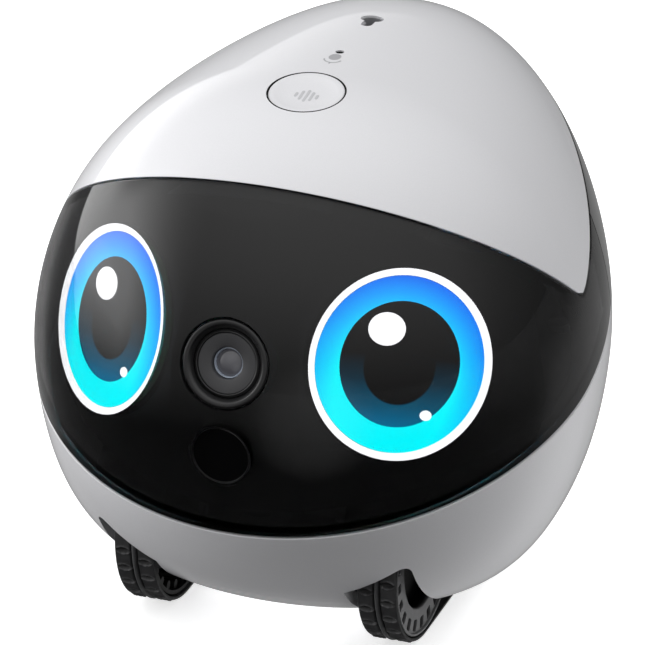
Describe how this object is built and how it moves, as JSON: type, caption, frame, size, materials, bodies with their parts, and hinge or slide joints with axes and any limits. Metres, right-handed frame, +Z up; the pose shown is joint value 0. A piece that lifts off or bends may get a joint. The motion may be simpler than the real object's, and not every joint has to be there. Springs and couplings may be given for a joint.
{
  "type": "ball-shaped companion robot",
  "caption": "Ball-shaped home robot with a smoked black face visor, round light-up eyes, a central camera, a top push button and crawler tracks under a white shell.",
  "frame": {"origin": "on the floor, under the middle of the body's outer box", "axes": "-Y is where the robot's face looks, +X is the robot's left, +Z is up"},
  "size_m": [0.0936, 0.1042, 0.09],
  "materials": {
    "shell_white": "satin white moulded plastic",
    "visor_smoke": "polished smoked clear plastic that looks black",
    "gloss_black": "polished black plastic",
    "black_plastic": "fine-textured black plastic",
    "track_rubber": "moulded black rubber",
    "ring_white": "translucent white light ring",
    "eye_blue": "lit blue display with a dark pupil",
    "lens_glass": "coated lens glass",
    "steel": "plain steel",
    "contact_gold": "gold-plated contact",
    "circuit_board": "green solder mask",
    "battery_wrap": "blue shrink wrap"
  },
  "bodies": {
    "body": {"cap_shell": "shell_white", "lower_shell": "shell_white", "visor": "visor_smoke", "rear_band": "gloss_black", "camera_bezel": "gloss_black", "sensor_window": "gloss_black", "face_carrier": "black_plastic", "camera_inner_ring": "black_plastic", "camera_baffle": "black_plastic", "camera_barrel": "black_plastic", "distance_sensor": "black_plastic", "button_switch": "black_plastic", "microphone": "black_plastic", "accessory_socket": "black_plastic", "track_well_left": "black_plastic", "track_well_right": "black_plastic", "chassis_deck": "black_plastic", "speaker": "black_plastic", "power_switch": "black_plastic", "track_belt_left": "track_rubber", "track_belt_right": "track_rubber", "eye_ring_left": "ring_white", "eye_ring_right": "ring_white", "eye_display_left": "eye_blue", "eye_display_right": "eye_blue", "camera_lens": "lens_glass", "front_axle_left": "steel", "front_axle_right": "steel", "gear_motor_left": "steel", "gear_motor_right": "steel", "processor_shield": "steel", "ballast_weight": "steel", "deck_screw_front_left": "steel", "deck_screw_front_right": "steel", "deck_screw_rear_left": "steel", "deck_screw_rear_right": "steel", "charge_port": "steel", "charge_contact_left": "contact_gold", "charge_contact_right": "contact_gold", "eye_led_board_left": "circuit_board", "eye_led_board_right": "circuit_board", "camera_board": "circuit_board", "sensor_board": "circuit_board", "top_board": "circuit_board", "main_board": "circuit_board", "battery": "battery_wrap"},
    "drive_left": {"rear_wheel_left": "black_plastic", "rear_axle_left": "steel"},
    "drive_right": {"rear_wheel_right": "black_plastic", "rear_axle_right": "steel"},
    "idler_left": {"front_wheel_left": "black_plastic"},
    "idler_right": {"front_wheel_right": "black_plastic"},
    "top_button": {"top_button": "shell_white"},
    "power_button": {"power_button": "gloss_black"}
  },
  "joints": [
    {"name": "drive_left_spin", "type": "hinge", "parent": "body", "child": "drive_left", "pos_m": [0.0176, 0.0137, 0.0161], "axis": [1, 0, 0], "continuous": true},
    {"name": "drive_right_spin", "type": "hinge", "parent": "body", "child": "drive_right", "pos_m": [-0.0176, 0.0137, 0.0161], "axis": [1, 0, 0], "continuous": true},
    {"name": "idler_left_spin", "type": "hinge", "parent": "body", "child": "idler_left", "pos_m": [0.0176, -0.0213, 0.0161], "axis": [1, 0, 0], "continuous": true},
    {"name": "idler_right_spin", "type": "hinge", "parent": "body", "child": "idler_right", "pos_m": [-0.0176, -0.0213, 0.0161], "axis": [1, 0, 0], "continuous": true},
    {"name": "top_button_press", "type": "slide", "parent": "body", "child": "top_button", "axis": [0, 0.1478, -0.989], "range_m": [0, 0.0008], "stiffness_N_per_m": 600, "springref_m": -0.0008},
    {"name": "power_button_press", "type": "slide", "parent": "body", "child": "power_button", "axis": [0, -0.9848, -0.1736], "range_m": [0, 0.0006], "stiffness_N_per_m": 600, "springref_m": -0.0008}
  ],
  "couplings": [
    {"joint": "idler_left_spin", "follows": "drive_left_spin", "ratio": 1},
    {"joint": "idler_right_spin", "follows": "drive_right_spin", "ratio": 1}
  ]
}
